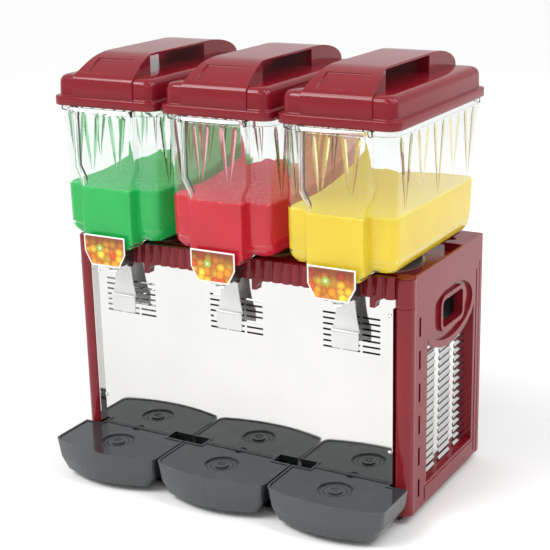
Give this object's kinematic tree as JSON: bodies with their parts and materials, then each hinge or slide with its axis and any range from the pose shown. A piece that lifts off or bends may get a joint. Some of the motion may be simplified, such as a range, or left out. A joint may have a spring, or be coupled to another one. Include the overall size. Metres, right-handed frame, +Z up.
{
  "type": "slushie machine",
  "caption": "Counter-top cold drinks dispenser with clear lift-off bowls, maroon lids and body, mirror front, push levers and drip trays.",
  "frame": {"origin": "centre of the bounding box's underside, on the surface that the feet stand on", "axes": "+Z up, -Y towards the user, +X to the user's right"},
  "size_m": [0.6, 0.403, 0.688],
  "materials": {
    "maroon_plastic": "glossy moulded, deep maroon",
    "clear_plastic": "clear moulded polycarbonate",
    "mirror_steel": "mirror-polished stainless sheet",
    "polished_steel": "polished stainless",
    "brushed_steel": "brushed stainless",
    "tray_grey": "dark grey moulded, semi-gloss",
    "black_plastic": "matt black moulded",
    "valve_plastic": "dark tinted moulded",
    "label_print": "printed card with a plain fruit pattern and a white border",
    "white_plastic": "white moulded",
    "silicone": "translucent silicone rubber",
    "black_rubber": "moulded rubber",
    "black_enamel": "black enamel over pressed steel",
    "fin_aluminium": "pressed fins, slightly dulled",
    "copper_tube": "bare copper tube",
    "motor_steel": "grey painted motor case",
    "rocker_red": "red translucent rocker"
  },
  "bodies": {
    "cabinet": {"bowl_gaskets": "silicone", "drive_motors": "motor_steel", "top_deck": "maroon_plastic", "front_panel": "mirror_steel", "rear_panel": "brushed_steel", "base_pan": "black_enamel", "left_side_frame": "maroon_plastic", "right_side_frame": "maroon_plastic", "left_louvre_sheet": "polished_steel", "right_louvre_sheet": "polished_steel", "front_columns": "maroon_plastic", "feet": "black_rubber", "compressor": "black_enamel", "condenser": "fin_aluminium", "fan_motor": "motor_steel", "refrigerant_pipes": "copper_tube", "switch_plate": "black_plastic", "power_inlet": "black_plastic", "panel_screws": "polished_steel", "left_evaporator": "brushed_steel", "middle_evaporator": "brushed_steel", "right_evaporator": "brushed_steel"},
    "left_bowl_unit": {"left_bowl": "clear_plastic", "left_label_card": "label_print", "left_valve": "valve_plastic", "left_lever_pin": "polished_steel"},
    "left_lid_unit": {"left_lid": "maroon_plastic"},
    "left_lever_unit": {"left_lever": "polished_steel"},
    "left_plunger_unit": {"left_plunger": "polished_steel"},
    "left_agitator_unit": {"left_agitator": "white_plastic"},
    "left_rotor_unit": {"left_drive_rotor": "motor_steel"},
    "left_tray_unit": {"left_drip_tray": "tray_grey"},
    "left_cover_unit": {"left_tray_cover": "tray_grey"},
    "middle_bowl_unit": {"middle_bowl": "clear_plastic", "middle_label_card": "label_print", "middle_valve": "valve_plastic", "middle_lever_pin": "polished_steel"},
    "middle_lid_unit": {"middle_lid": "maroon_plastic"},
    "middle_lever_unit": {"middle_lever": "polished_steel"},
    "middle_plunger_unit": {"middle_plunger": "polished_steel"},
    "middle_agitator_unit": {"middle_agitator": "white_plastic"},
    "middle_rotor_unit": {"middle_drive_rotor": "motor_steel"},
    "middle_tray_unit": {"middle_drip_tray": "tray_grey"},
    "middle_cover_unit": {"middle_tray_cover": "tray_grey"},
    "right_bowl_unit": {"right_bowl": "clear_plastic", "right_label_card": "label_print", "right_valve": "valve_plastic", "right_lever_pin": "polished_steel"},
    "right_lid_unit": {"right_lid": "maroon_plastic"},
    "right_lever_unit": {"right_lever": "polished_steel"},
    "right_plunger_unit": {"right_plunger": "polished_steel"},
    "right_agitator_unit": {"right_agitator": "white_plastic"},
    "right_rotor_unit": {"right_drive_rotor": "motor_steel"},
    "right_tray_unit": {"right_drip_tray": "tray_grey"},
    "right_cover_unit": {"right_tray_cover": "tray_grey"},
    "fan_unit": {"fan_blade": "fin_aluminium"},
    "power_rocker_unit": {"power_rocker": "rocker_red"},
    "mixer_rocker_unit": {"mixer_rocker": "rocker_red"},
    "knob_unit": {"thermostat_knob": "black_plastic"}
  },
  "joints": [
    {"name": "left_bowl_lift", "type": "slide", "parent": "cabinet", "child": "left_bowl_unit", "axis": [0, 0, 1], "range_m": [0, 0.12]},
    {"name": "left_lid_lift", "type": "slide", "parent": "left_bowl_unit", "child": "left_lid_unit", "axis": [0, 0, 1], "range_m": [0, 0.06]},
    {"name": "left_lever_hinge", "type": "hinge", "parent": "left_bowl_unit", "child": "left_lever_unit", "pos_m": [-0.2, -0.1075, 0.36], "axis": [1, 0, 0], "range_deg": [0, 12], "stiffness_Nm_per_rad": 0.8, "springref_deg": -6.88},
    {"name": "left_plunger_slide", "type": "slide", "parent": "left_bowl_unit", "child": "left_plunger_unit", "axis": [0, 0, -1], "range_m": [0, 0.0046]},
    {"name": "left_rotor_spin", "type": "hinge", "parent": "cabinet", "child": "left_rotor_unit", "pos_m": [-0.2, 0.0225, 0.4], "axis": [0, 0, 1], "continuous": true},
    {"name": "left_agitator_spin", "type": "hinge", "parent": "cabinet", "child": "left_agitator_unit", "pos_m": [-0.2, 0.0225, 0.455], "axis": [0, 0, 1], "continuous": true},
    {"name": "left_tray_slide", "type": "slide", "parent": "cabinet", "child": "left_tray_unit", "axis": [0, -1, 0], "range_m": [0, 0.13]},
    {"name": "left_cover_lift", "type": "slide", "parent": "left_tray_unit", "child": "left_cover_unit", "axis": [0, 0, 1], "range_m": [0, 0.05]},
    {"name": "middle_bowl_lift", "type": "slide", "parent": "cabinet", "child": "middle_bowl_unit", "axis": [0, 0, 1], "range_m": [0, 0.12]},
    {"name": "middle_lid_lift", "type": "slide", "parent": "middle_bowl_unit", "child": "middle_lid_unit", "axis": [0, 0, 1], "range_m": [0, 0.06]},
    {"name": "middle_lever_hinge", "type": "hinge", "parent": "middle_bowl_unit", "child": "middle_lever_unit", "pos_m": [0, -0.1075, 0.36], "axis": [1, 0, 0], "range_deg": [0, 12], "stiffness_Nm_per_rad": 0.8, "springref_deg": -6.88},
    {"name": "middle_plunger_slide", "type": "slide", "parent": "middle_bowl_unit", "child": "middle_plunger_unit", "axis": [0, 0, -1], "range_m": [0, 0.0046]},
    {"name": "middle_rotor_spin", "type": "hinge", "parent": "cabinet", "child": "middle_rotor_unit", "pos_m": [0, 0.0225, 0.4], "axis": [0, 0, 1], "continuous": true},
    {"name": "middle_agitator_spin", "type": "hinge", "parent": "cabinet", "child": "middle_agitator_unit", "pos_m": [0, 0.0225, 0.455], "axis": [0, 0, 1], "continuous": true},
    {"name": "middle_tray_slide", "type": "slide", "parent": "cabinet", "child": "middle_tray_unit", "axis": [0, -1, 0], "range_m": [0, 0.13]},
    {"name": "middle_cover_lift", "type": "slide", "parent": "middle_tray_unit", "child": "middle_cover_unit", "axis": [0, 0, 1], "range_m": [0, 0.05]},
    {"name": "right_bowl_lift", "type": "slide", "parent": "cabinet", "child": "right_bowl_unit", "axis": [0, 0, 1], "range_m": [0, 0.12]},
    {"name": "right_lid_lift", "type": "slide", "parent": "right_bowl_unit", "child": "right_lid_unit", "axis": [0, 0, 1], "range_m": [0, 0.06]},
    {"name": "right_lever_hinge", "type": "hinge", "parent": "right_bowl_unit", "child": "right_lever_unit", "pos_m": [0.2, -0.1075, 0.36], "axis": [1, 0, 0], "range_deg": [0, 12], "stiffness_Nm_per_rad": 0.8, "springref_deg": -6.88},
    {"name": "right_plunger_slide", "type": "slide", "parent": "right_bowl_unit", "child": "right_plunger_unit", "axis": [0, 0, -1], "range_m": [0, 0.0046]},
    {"name": "right_rotor_spin", "type": "hinge", "parent": "cabinet", "child": "right_rotor_unit", "pos_m": [0.2, 0.0225, 0.4], "axis": [0, 0, 1], "continuous": true},
    {"name": "right_agitator_spin", "type": "hinge", "parent": "cabinet", "child": "right_agitator_unit", "pos_m": [0.2, 0.0225, 0.455], "axis": [0, 0, 1], "continuous": true},
    {"name": "right_tray_slide", "type": "slide", "parent": "cabinet", "child": "right_tray_unit", "axis": [0, -1, 0], "range_m": [0, 0.13]},
    {"name": "right_cover_lift", "type": "slide", "parent": "right_tray_unit", "child": "right_cover_unit", "axis": [0, 0, 1], "range_m": [0, 0.05]},
    {"name": "fan_spin", "type": "hinge", "parent": "cabinet", "child": "fan_unit", "pos_m": [0.142, 0.1085, 0.25], "axis": [0, 1, 0], "continuous": true},
    {"name": "power_rocker_tilt", "type": "hinge", "parent": "cabinet", "child": "power_rocker_unit", "pos_m": [0.2, 0.1845, 0.3], "axis": [1, 0, 0], "range_deg": [-6, 6]},
    {"name": "mixer_rocker_tilt", "type": "hinge", "parent": "cabinet", "child": "mixer_rocker_unit", "pos_m": [0.23, 0.1845, 0.3], "axis": [1, 0, 0], "range_deg": [-6, 6]},
    {"name": "thermostat_turn", "type": "hinge", "parent": "cabinet", "child": "knob_unit", "pos_m": [0.285, 0.191, 0.369], "axis": [0, 1, 0], "range_deg": [-140, 140]}
  ],
  "couplings": [
    {"joint": "left_plunger_slide", "follows": "left_lever_hinge", "m_per_rad": 0.0209},
    {"joint": "left_agitator_spin", "follows": "left_rotor_spin", "ratio": 1},
    {"joint": "middle_plunger_slide", "follows": "middle_lever_hinge", "m_per_rad": 0.0209},
    {"joint": "middle_agitator_spin", "follows": "middle_rotor_spin", "ratio": 1},
    {"joint": "right_plunger_slide", "follows": "right_lever_hinge", "m_per_rad": 0.0209},
    {"joint": "right_agitator_spin", "follows": "right_rotor_spin", "ratio": 1}
  ]
}
